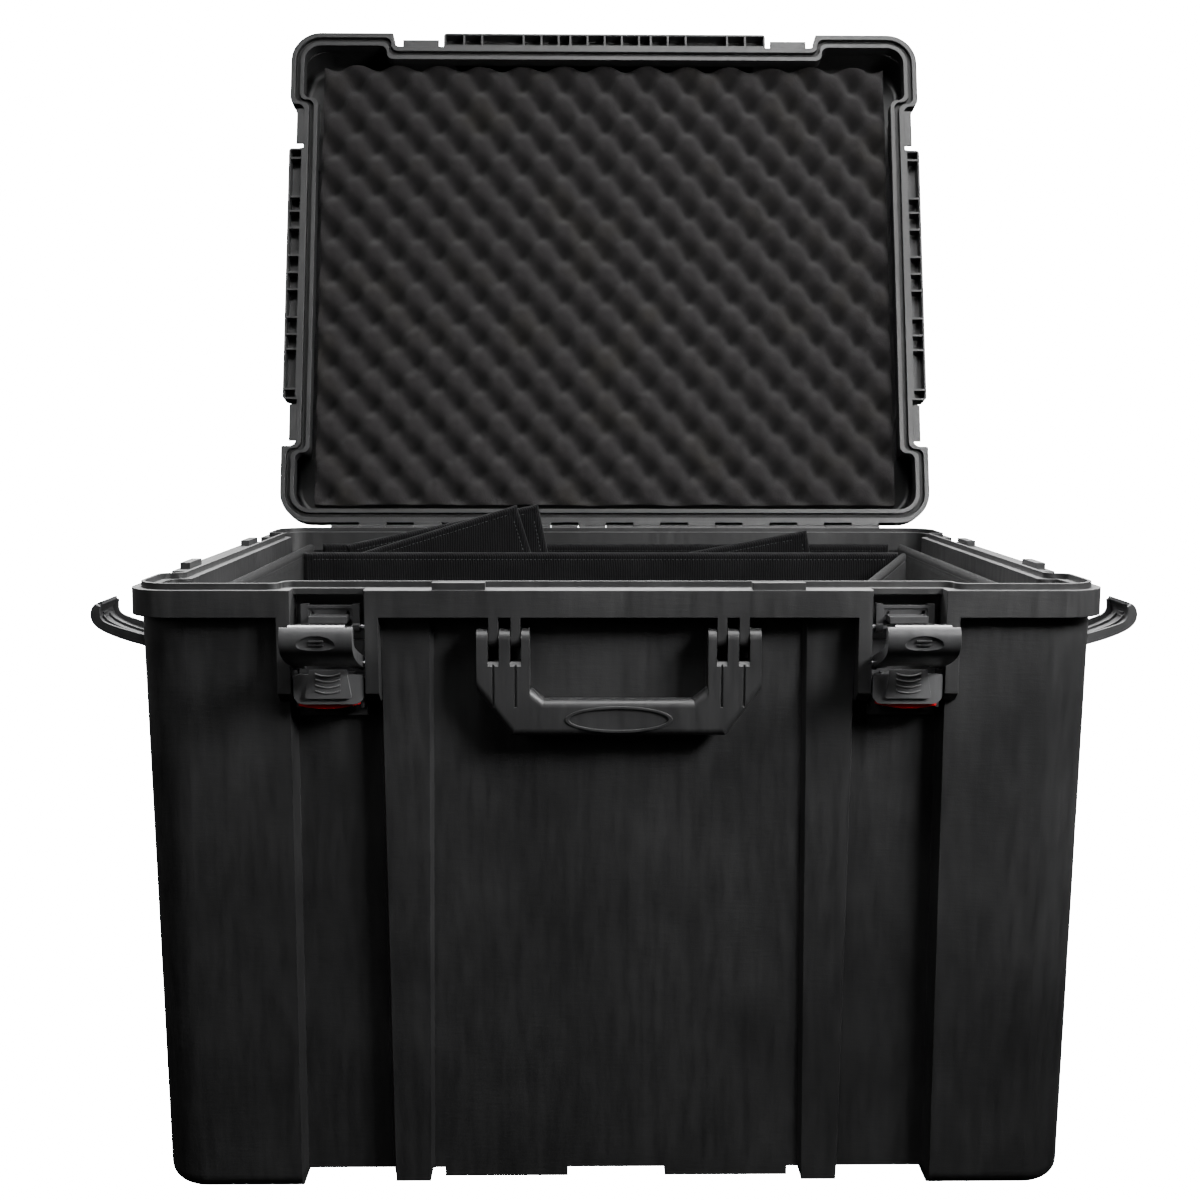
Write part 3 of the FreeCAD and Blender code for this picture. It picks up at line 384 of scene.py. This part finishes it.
def egg_crate(name, x_lines, y_lines, face_z, back_z, keep_cell, wavy_edges):
    """Closed egg-crate pad over the cells that keep_cell accepts. Built lid closed, then swung open."""
    low_x, high_x, low_y, high_y = x_lines[0], x_lines[-1], y_lines[0], y_lines[-1]

    def height(x, y):
        return face_z + dimple(x, y) + SKIN

    def front(x, y):
        if wavy_edges:
            ripple = EDGE_RIPPLE * noise.noise(Vector((x * 22, y * 22, 8.0)))
            for edge, near in ((low_x, x), (high_x, x)):
                if abs(near - edge) < 1e-6:
                    x += ripple + (EDGE_RIPPLE if edge == low_x else -EDGE_RIPPLE)
            for edge, near in ((low_y, y), (high_y, y)):
                if abs(near - edge) < 1e-6:
                    y += ripple + (EDGE_RIPPLE if edge == low_y else -EDGE_RIPPLE)
        return Vector((x, y, height(x, y)))

    def slope(x, y):
        d = 0.5 * MM
        return Vector((dimple(x + d, y) - dimple(x - d, y), dimple(x, y + d) - dimple(x, y - d),
                       -2 * d)).normalized()

    index = {}
    vertices = []
    ridge = []
    normals = []

    def vertex(i, j, layer):
        key = (i, j, layer)
        if key not in index:
            x, y = x_lines[i], y_lines[j]
            point = front(x, y)
            if layer == 1:
                point.z = back_z
            index[key] = len(vertices)
            vertices.append(TO_OPEN @ point)
            ridge.append(1 - dimple(x, y) / DIMPLE_DEPTH if layer == 0 else 0.0)
            normals.append(TO_OPEN.to_3x3() @ slope(x, y))
        return index[key]

    cells = set()
    for i in range(len(x_lines) - 1):
        for j in range(len(y_lines) - 1):
            if keep_cell((x_lines[i] + x_lines[i + 1]) / 2, (y_lines[j] + y_lines[j + 1]) / 2):
                cells.add((i, j))
    faces = []
    face_kind = []
    for i, j in sorted(cells):
        faces.append([vertex(i, j, 0), vertex(i, j + 1, 0), vertex(i + 1, j + 1, 0), vertex(i + 1, j, 0)])
        face_kind.append(0)
        faces.append([vertex(i, j, 1), vertex(i + 1, j, 1), vertex(i + 1, j + 1, 1), vertex(i, j + 1, 1)])
        face_kind.append(1)
        for di, dj, a, b in ((-1, 0, (i, j), (i, j + 1)), (0, 1, (i, j + 1), (i + 1, j + 1)),
                             (1, 0, (i + 1, j + 1), (i + 1, j)), (0, -1, (i + 1, j), (i, j))):
            if (i + di, j + dj) not in cells:
                faces.append([vertex(*b, 0), vertex(*a, 0), vertex(*a, 1), vertex(*b, 1)])
                face_kind.append(1)
    made = add_mesh(name, vertices, faces, FOAM, "lid")
    mesh = made.data
    attribute = mesh.attributes.new("ridge", "FLOAT", "POINT")
    attribute.data.foreach_set("value", ridge)
    loop_normals = []
    for polygon in mesh.polygons:
        for v in polygon.vertices:
            loop_normals.append(normals[v] if face_kind[polygon.index] == 0 else polygon.normal.copy())
    mesh.normals_split_custom_set(loop_normals)
    return made


def lid_foam():
    low, high = limits(node_points("lid_foam", TO_CLOSED))
    wx0, wx1, wy0, wy1 = DIVIDER_WINDOW

    def lines(start, end, window):
        marks = [start, window[0], window[1], end]
        found = []
        for a, b in zip(marks, marks[1:]):
            count = max(1, round((b - a) / FOAM_STEP))
            found.extend(a + (b - a) * k / count for k in range(count))
        return found + [end]

    x_lines = lines(low.x, high.x, (wx0, wx1))
    y_lines = lines(low.y, high.y, (wy0, wy1))

    def in_window(x, y):
        return wx0 < x < wx1 and wy0 < y < wy1

    main = egg_crate("egg_crate_foam", x_lines, y_lines, low.z, high.z,
                     lambda x, y: not in_window(x, y), True)
    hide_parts("lid_foam")
    window_x = [x for x in x_lines if wx0 - 1e-7 <= x <= wx1 + 1e-7]
    window_y = [y for y in y_lines if wy0 - 1e-7 <= y <= wy1 + 1e-7]
    patch = egg_crate("egg_crate_foam_over_divider", window_x, window_y, low.z, high.z,
                      lambda x, y: True, False)
    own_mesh(patch)


# ------------------------------------------------------------------ padded cloth panels
SEAM_FROM_EDGE = 8.0 * MM
SEAM_DEPTH = 0.9 * MM
STITCH_PITCH = 4.6 * MM
STITCH_LENGTH = 3.0 * MM
STITCH_RADIUS = 0.33 * MM
STITCH_LIFT = 0.1 * MM
PANEL_PITCH = 6.0 * MM       # mesh spacing
PUFF = 0.8 * MM              # how far the cloth swells and wanders
CROWN_REACH = 55 * MM        # distance over which the swell builds up
SEAM_WIDTH = 1.5 * MM
CROSS_SEAM_WIDTH = 1.6 * MM
CROSS_SEAM_DEPTH = 1.3 * SEAM_DEPTH


def padded_panel(name, corners, thickness, material, seed, replaces=(), extra_seams=(),
                 stitch_edges="t"):
    """Foam-filled cloth panel between four mid-plane corners (low left, low right, top left, top right).

    Its edges are rounded and pressed in along a sewn seam; the cloth between is gently uneven.
    """
    p00, p10, p01, p11 = [Vector(c) for c in corners]
    length = (p10 - p00).length
    height = (p01 - p00).length
    outward = (p10 - p00).cross(p01 - p00).normalized()
    half = thickness / 2
    round_r = half * 1.1
    s_lines = steps(length, PANEL_PITCH, round_r * 2.2, round_r / 3.5)
    t_lines = steps(height, PANEL_PITCH, round_r * 2.2, round_r / 3.5)

    def middle(s, t):
        u, v = s / length, t / height
        low = p00.lerp(p10, u)
        high = p01.lerp(p11, u)
        return low.lerp(high, v)

    def swell(s, t, side):
        depth = 1.0
        for near in (s, length - s, t, height - t):
            share = min(near / round_r, 1.0)
            depth = min(depth, math.sqrt(max(0.0, 1 - (1 - share) ** 2)))
        offset = (half - PUFF) * depth
        inside = min(s, length - s, t, height - t)
        crown = smooth((inside - SEAM_FROM_EDGE) / CROWN_REACH)
        wrinkle = noise.noise(Vector((s * 14, t * 11, seed + side * 3)))
        fine = noise.noise(Vector((s * 60, t * 45, seed * 2 + side)))
        offset += PUFF * (0.55 * crown + 0.6 * crown * wrinkle + 0.22 * depth * fine) * (depth > 0.2)
        for near in (s, length - s, height - t, t):
            offset -= SEAM_DEPTH * math.exp(-((near - SEAM_FROM_EDGE) / SEAM_WIDTH) ** 2)
        for axis, place in extra_seams:
            near = s if axis == "s" else t
            offset -= CROSS_SEAM_DEPTH * math.exp(-((near - place) / CROSS_SEAM_WIDTH) ** 2)
        return max(offset, 0.0)

    columns = len(s_lines)
    rows = len(t_lines)
    vertices = []
    index = {}
    for side in (1, -1):
        for j, t in enumerate(t_lines):
            for i, s in enumerate(s_lines):
                rim = i in (0, columns - 1) or j in (0, rows - 1)
                if rim and side == -1:
                    index[(side, i, j)] = index[(1, i, j)]
                    continue
                index[(side, i, j)] = len(vertices)
                vertices.append(middle(s, t) + outward * (0.0 if rim else side * swell(s, t, side)))
    faces = []
    for side in (1, -1):
        for j in range(rows - 1):
            for i in range(columns - 1):
                quad = [index[(side, i, j)], index[(side, i + 1, j)], index[(side, i + 1, j + 1)],
                        index[(side, i, j + 1)]]
                faces.append(quad if side == 1 else quad[::-1])
    made = add_mesh(name, vertices, faces, material, "base")
    if replaces:
        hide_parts(*replaces)

    stitches = []
    for edge_name in stitch_edges:
        for side in (1, -1):
            run = length if edge_name in "tb" else height
            for k in range(int((run - 3 * SEAM_FROM_EDGE) / STITCH_PITCH)):
                along = 1.5 * SEAM_FROM_EDGE + k * STITCH_PITCH
                ends = []
                for place in (along, along + STITCH_LENGTH):
                    s, t = {"t": (place, height - SEAM_FROM_EDGE), "b": (place, SEAM_FROM_EDGE),
                            "l": (SEAM_FROM_EDGE, place), "r": (length - SEAM_FROM_EDGE, place)}[edge_name]
                    ends.append(middle(s, t) + outward * side * (swell(s, t, side) + STITCH_LIFT))
                stitches.append((ends[0], ends[1], outward * side))
    add_stitches(name + "_stitching", stitches)


def add_stitches(name, stitches):
    """Short thread loops, each a small tapered prism that rises in its middle."""
    vertices = []
    faces = []
    for start, end, up in stitches:
        along = (end - start).normalized()
        across = along.cross(up).normalized() * STITCH_RADIUS
        rings = []
        for share, size, rise in ((0.0, 0.5, -0.2), (0.25, 1.0, 0.5), (0.75, 1.0, 0.5), (1.0, 0.5, -0.2)):
            centre = start.lerp(end, share) + up * STITCH_RADIUS * rise
            rings.append([len(vertices) + k for k in range(6)])
            for k in range(6):
                angle = k * math.pi / 3
                spoke = across * math.cos(angle) + up * STITCH_RADIUS * math.sin(angle)
                vertices.append(centre + spoke * size)
        for a, b in zip(rings, rings[1:]):
            faces.extend([a[k], a[(k + 1) % 6], b[(k + 1) % 6], b[k]] for k in range(6))
        faces.append(rings[0][::-1])
        faces.append(rings[-1])
    if vertices:
        add_mesh(name, vertices, faces, TAPE, "base")


def liners():
    """Padded lining on the four walls and the floor."""
    for number, name in enumerate(("liner_front", "liner_back")):
        low, high, ((low0, low1), (top0, top1)) = slab_corners(name)
        y_low, y_top = (low0 + low1) / 2, (top0 + top1) / 2
        corners = [(low.x, y_low, low.z), (high.x, y_low, low.z),
                   (low.x, y_top, high.z), (high.x, y_top, high.z)]
        padded_panel(name + "_pad", corners, low1 - low0, LINER, 11 + number, (name,))
    for number, name in enumerate(("liner_left", "liner_right")):
        low, high, ((low0, low1), (top0, top1)) = slab_corners(name)
        x = (low.x + high.x) / 2
        corners = [(x, low0, low.z), (x, low1, low.z), (x, top0, high.z), (x, top1, high.z)]
        padded_panel(name + "_pad", corners, high.x - low.x, LINER, 21 + number, (name,))
    low, high = [Vector(c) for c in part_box("liner_floor")]
    z = (low.z + high.z) / 2
    corners = [(low.x, low.y, z), (high.x, low.y, z), (low.x, high.y, z), (high.x, high.y, z)]
    padded_panel("liner_floor_pad", corners, high.z - low.z, LINER, 31, ("liner_floor",),
                 stitch_edges="")


# loose dividers, in the same places as their solids: top right corner, tilt in degrees, length, height, y
END_SEAM = 30 * MM           # seam across a divider this far from its end
END_SLICE = 12 * MM          # points this close to an end of the diagonal divider belong to that end
PANEL = 10.0 * MM
TALL_FRONT = ((-104 * MM, 562.5 * MM), 17.0, 222 * MM, 482 * MM, 204 * MM)
TALL_BACK = ((-80 * MM, 563 * MM), 12.0, 226 * MM, 470 * MM, 214 * MM)
LOW_LOOSE = ((232 * MM, 532 * MM), 10.7, 300 * MM, 448 * MM, 231 * MM)


def leaning(top_right, tilt, length, height, y):
    """Mid-plane corners of a loose panel that stands on one lower corner."""
    x, z = top_right
    c, s = math.cos(math.radians(tilt)), math.sin(math.radians(tilt))
    top_left = (x - length * c, y, z - length * s)
    low_left = (top_left[0] + height * s, y, top_left[2] - height * c)
    low_right = (x + height * s, y, z - height * c)
    return [low_left, low_right, top_left, (x, y, z)]


def dividers():
    low, high = [Vector(c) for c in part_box("long_divider")]
    y = (low.y + high.y) / 2
    corners = [(low.x, y, low.z), (high.x, y, low.z), (low.x, y, high.z), (high.x, y, high.z)]
    padded_panel("long_divider_pad", corners, high.y - low.y, DIVIDER, 41,
                 ("long_divider",), extra_seams=(("s", END_SEAM), ("s", high.x - low.x - END_SEAM)))

    points = node_points("diagonal_divider")
    low, high = limits(points)
    front = [p for p in points if p.y < low.y + END_SLICE]
    back = [p for p in points if p.y > high.y - END_SLICE]
    ends = []
    for group in (front, back):
        a, b = limits(group)
        ends.append(((a.x + b.x) / 2, (a.y + b.y) / 2))
    corners = [(*ends[0], low.z), (*ends[1], low.z), (*ends[0], high.z), (*ends[1], high.z)]
    padded_panel("diagonal_divider_pad", corners, PANEL, DIVIDER, 51,
                 ("diagonal_divider",), extra_seams=(("s", END_SEAM),))

    padded_panel("tall_divider_front_pad", leaning(*TALL_FRONT), PANEL, DIVIDER, 61,
                 ("loose_divider_tall",), extra_seams=(("s", 190 * MM),), stitch_edges="tr")
    padded_panel("tall_divider_back_pad", leaning(*TALL_BACK), PANEL, DIVIDER, 71,
                 extra_seams=(("s", 196 * MM),), stitch_edges="tr")
    padded_panel("low_divider_pad", leaning(*LOW_LOOSE), PANEL, DIVIDER, 81,
                 ("loose_divider_low",), extra_seams=(("s", 268 * MM),), stitch_edges="tr")


# ------------------------------------------------------------------ torsion springs under the pawls
SPRING_WIRE = 0.55 * MM
SPRING_TURNS = 9
SPRING_POINTS = 12           # per turn
SPRING_REACH = 15 * MM       # no spring's point is farther than this from its pin's centre


def pawl_springs():
    """Coiled wire in the tube-shaped space kept for each spring, around its pawl's pin."""
    points = node_points("pawl_springs")
    for turning in frame["joints"]:
        if not turning["name"].startswith("latch_pawl_"):
            continue
        name = "pawl_spring" + turning["name"][len("latch_pawl"):-len("_tilt")]
        centre = Vector(turning["pos_m"])
        along = Vector(turning["axis"])
        across = along.cross(Vector((0, 0, 1)))
        near = [p - centre for p in points if (p - centre).length < SPRING_REACH]
        half = max(p.dot(along) for p in near) - SPRING_WIRE
        radius = max(p.z for p in near) - SPRING_WIRE
        curve = bpy.data.curves.new(name, "CURVE")
        curve.dimensions = "3D"
        curve.bevel_depth = SPRING_WIRE
        curve.bevel_resolution = 2
        spline = curve.splines.new("NURBS")
        count = SPRING_TURNS * SPRING_POINTS + 1
        spline.points.add(count - 1)
        for k in range(count):
            angle = 2 * math.pi * k / SPRING_POINTS
            place = (centre + along * half * (2 * k / (count - 1) - 1)
                     + (across * math.cos(angle) + Vector((0, 0, math.sin(angle)))) * radius)
            spline.points[k].co = (*place, 1)
        spline.order_u = 3
        spline.use_endpoint_u = True
        curve.materials.append(STEEL)
        made = bpy.data.objects.new(name, curve)
        bpy.context.scene.collection.objects.link(made)
        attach(made, "base")
        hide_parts("pawl_springs")


# ------------------------------------------------------------------ surroundings
SKY_FRONT = 0.05      # light from the room in front
SKY_BEHIND = 1.1      # light from the white backdrop behind and above
WHITE = 24.0          # brightness of the plain floor and background, as seen
FLOOR_HALF = 12.0
FLOOR_DROP = 1 * MM   # the floor lies this far below the feet
SOFT_BOXES = (
    # name, place, aimed at, size, power, spread in degrees
    ("key_top", (0.3, -0.55, 2.0), (0.1, -0.35, 0.5), (1.8, 0.6), 50, 180),
    ("right_near", (0.95, -0.95, 1.2), (0.2, -0.3, 0.8), (0.5, 0.35), 11, 95),
    ("right_front", (1.5, -1.25, 1.6), (0.25, -0.3, 0.6), (0.7, 0.7), 2.6, 70),
    ("left_front", (-1.9, -1.8, 1.6), (-0.2, -0.3, 0.7), (0.9, 1.2), 1.2, 60),
    ("back_top", (0.0, 1.2, 2.5), (0, -0.3, 0.5), (2.4, 0.8), 420, 180),
)


def pale_floor():
    """Plain white floor that blends into the background and throws no light up at the case."""
    mesh = bpy.data.meshes.new("floor")
    corners = [(x * FLOOR_HALF, y * FLOOR_HALF, -FLOOR_DROP) for x, y in ((-1, -1), (1, -1), (1, 1), (-1, 1))]
    mesh.from_pydata(corners, [], [(0, 1, 2, 3)])
    made = bpy.data.objects.new("floor", mesh)
    bpy.context.scene.collection.objects.link(made)
    material = bpy.data.materials.new("floor_white")
    material.use_nodes = True
    shader = material.node_tree.nodes["Principled BSDF"]
    shader.inputs["Base Color"].default_value = (0.0, 0.0, 0.0, 1.0)
    shader.inputs["Roughness"].default_value = 1.0
    shader.inputs["Specular IOR Level"].default_value = 0.0
    shader.inputs["Emission Color"].default_value = (1.0, 1.0, 1.0, 1.0)
    shader.inputs["Emission Strength"].default_value = WHITE
    mesh.materials.append(material)
    made.visible_diffuse = False
    made.visible_glossy = False
    made.visible_shadow = False


def soft_box(name, place, target, size, power, spread):
    light = bpy.data.lights.new(name, "AREA")
    light.shape = "RECTANGLE"
    light.size, light.size_y = size
    light.energy = power
    light.spread = math.radians(spread)
    made = bpy.data.objects.new(name, light)
    made.location = place
    made.rotation_euler = (Vector(target) - Vector(place)).to_track_quat("-Z", "Y").to_euler()
    made.visible_camera = False
    bpy.context.scene.collection.objects.link(made)


def studio():
    """White backdrop that also lights the top faces from behind, a dim room in front, and soft boxes."""
    world = bpy.data.worlds.new("studio")
    bpy.context.scene.world = world
    world.use_nodes = True
    tree = world.node_tree
    background = tree.nodes["Background"]
    background.inputs["Color"].default_value = (1.0, 1.0, 1.0, 1.0)
    path = tree.nodes.new("ShaderNodeLightPath")
    source = tree.nodes.new("ShaderNodeTexCoord")
    parts = tree.nodes.new("ShaderNodeSeparateXYZ")
    tree.links.new(source.outputs["Generated"], parts.inputs[0])
    behind = remap(tree, parts.outputs["Y"], SKY_FRONT, SKY_BEHIND, -0.1, 0.8)
    above = remap(tree, parts.outputs["Z"], 0.0, 1.0, -0.12, 0.1)
    glow = tree.nodes.new("ShaderNodeMath")
    glow.operation = "MULTIPLY"
    tree.links.new(behind, glow.inputs[0])
    tree.links.new(above, glow.inputs[1])
    seen = tree.nodes.new("ShaderNodeMix")
    tree.links.new(path.outputs["Is Camera Ray"], seen.inputs["Factor"])
    tree.links.new(glow.outputs[0], seen.inputs[2])
    seen.inputs[3].default_value = WHITE
    tree.links.new(seen.outputs[0], background.inputs["Strength"])
    for light in SOFT_BOXES:
        soft_box(*light)


# ------------------------------------------------------------------ camera
CAMERA_PLACE = Vector((-31.3, -1529.0, 663.0)) * MM
CAMERA_DOWN = math.radians(6.9)
CAMERA_YAW = math.radians(0.753)
CAMERA_ROLL = math.radians(0.095)
CAMERA_LENS = 45.5


def camera():
    data = bpy.data.cameras.new("camera")
    data.sensor_width = 36.0
    data.lens = CAMERA_LENS
    made = bpy.data.objects.new("camera", data)
    turn = (Matrix.Rotation(-CAMERA_YAW, 4, "Z") @ Matrix.Rotation(math.pi / 2 - CAMERA_DOWN, 4, "X")
            @ Matrix.Rotation(CAMERA_ROLL, 4, "Z"))
    made.matrix_world = Matrix.Translation(CAMERA_PLACE) @ turn
    bpy.context.scene.collection.objects.link(made)
    bpy.context.scene.camera = made


random.seed(SEED)
noise.seed_set(SEED)
finish_cad_nodes()
lid_foam()
liners()
dividers()
pawl_springs()
pale_floor()
studio()
camera()
